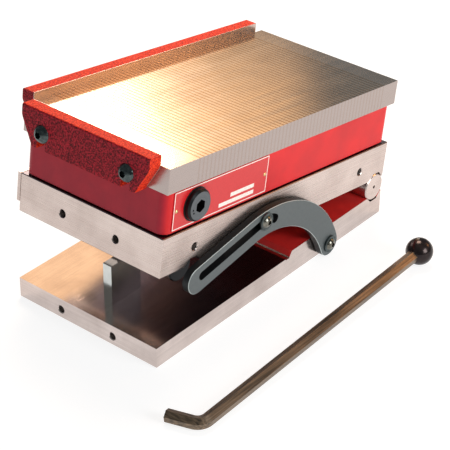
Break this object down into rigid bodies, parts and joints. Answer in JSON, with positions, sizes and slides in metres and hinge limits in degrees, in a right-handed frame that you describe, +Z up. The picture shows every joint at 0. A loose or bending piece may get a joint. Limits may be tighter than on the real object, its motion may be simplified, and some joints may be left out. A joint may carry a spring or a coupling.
{
  "type": "magnetic sine chuck",
  "caption": "Permanent magnetic chuck with a laminated face, stop rails and a turning drive shaft, on a hinged sine plate with lock arm, gauge block and loose hexagon wrench.",
  "frame": {"origin": "centre of the base's underside", "axes": "+X along the plates from the lifting end to the hinge, +Y from the side with the lock arm to the side with the long rail, +Z up"},
  "size_m": [0.3679, 0.2555, 0.1846],
  "materials": {
    "ground_steel": "ground",
    "ground_steel_painted": "ground land, red painted table",
    "black_oxide": "black oxide",
    "bright_steel": "bright",
    "dark_steel": "satin",
    "arm_steel": "satin grey",
    "red_paint": "gloss",
    "red_cast": "red paint on a rough casting",
    "pole_steel": "ground",
    "brass": "ground",
    "brass_pins": "bright",
    "name_plate": "red with a white border",
    "blued_steel": "blued",
    "bronze": "turned",
    "seal_rubber": "matt",
    "shaft_steel": "turned",
    "magnet_ceramic": "sintered",
    "block_steel": "lapped",
    "wrench_steel": "brown oxide",
    "knob": "polished black"
  },
  "bodies": {
    "base": {"base_plate": "ground_steel_painted", "arm_pivot_screw": "black_oxide", "pivot_washer": "bright_steel", "pivot_spacer": "bright_steel"},
    "plate": {"sine_plate": "ground_steel", "gauge_roll": "dark_steel", "hinge_roll": "ground_steel", "roll_screws": "black_oxide", "hinge_keeper_screws": "black_oxide", "saddle_washers": "bright_steel", "chuck_mount_screws": "black_oxide", "back_strip": "ground_steel", "back_strip_screws": "black_oxide", "chuck_housing": "red_paint", "bottom_cover": "dark_steel", "cover_screws": "black_oxide", "top_plate_screws": "black_oxide", "steel_laminations": "pole_steel", "brass_spacers": "brass", "rail_end_block": "pole_steel", "hinge_end_block": "pole_steel", "name_plate": "name_plate", "name_plate_pins": "brass_pins", "end_rail_screws": "blued_steel", "back_rail_screws": "blued_steel", "drive_bush": "bronze", "rear_bush": "bronze", "shaft_seal": "seal_rubber", "carriage_guides": "brass"},
    "arm": {"lock_arm": "arm_steel"},
    "clamp": {"clamp_screw": "black_oxide", "clamp_washer": "bright_steel", "clamp_spacer": "bright_steel"},
    "drive": {"drive_shaft": "shaft_steel", "retaining_ring": "black_oxide"},
    "magnet_pack": {"magnet_carriage": "dark_steel", "magnets": "magnet_ceramic", "pole_bars": "pole_steel"},
    "end_stop": {"end_rail": "red_cast"},
    "back_stop": {"back_rail": "red_cast"},
    "block": {"gauge_block": "block_steel"},
    "wrench": {"wrench_rod": "wrench_steel", "ball_knob": "knob"}
  },
  "joints": [
    {"name": "plate_tilt", "type": "hinge", "parent": "base", "child": "plate", "pos_m": [0.1411, 0, 0.03175], "axis": [0, 1, 0], "range_deg": [0, 36.35]},
    {"name": "arm_swing", "type": "hinge", "parent": "base", "child": "arm", "pos_m": [0.0646, -0.0809, 0.013], "axis": [0, 1, 0], "range_deg": [0, 59.52]},
    {"name": "clamp_slide", "type": "slide", "parent": "arm", "child": "clamp", "axis": [-0.9885, 0, -0.1513], "range_m": [0, 0.05688]},
    {"name": "shaft_turn", "type": "hinge", "parent": "plate", "child": "drive", "pos_m": [-0.10391, -0.0762, 0.13011], "axis": [0, 1, 0], "range_deg": [0, 180.05]},
    {"name": "pack_slide", "type": "slide", "parent": "plate", "child": "magnet_pack", "axis": [0.9887, 0, -0.1502], "range_m": [0, 0.008]},
    {"name": "end_stop_lift", "type": "slide", "parent": "plate", "child": "end_stop", "axis": [0.1502, 0, 0.9887], "range_m": [0, 0.01]},
    {"name": "back_stop_lift", "type": "slide", "parent": "plate", "child": "back_stop", "axis": [0.1502, 0, 0.9887], "range_m": [0, 0.01]},
    {"name": "block_slide", "type": "slide", "parent": "base", "child": "block", "axis": [-1, 0, 0], "range_m": [0, 0.045]},
    {"name": "wrench_lift", "type": "slide", "parent": "base", "child": "wrench", "axis": [0, 0, 1], "range_m": [0, 0.15]}
  ],
  "couplings": [
    {"joint": "arm_swing", "follows": "plate_tilt", "ratio": 1.636},
    {"joint": "clamp_slide", "follows": "plate_tilt", "m_per_rad": 0.08949},
    {"joint": "shaft_turn", "follows": "pack_slide", "rad_per_m": 392.7}
  ]
}
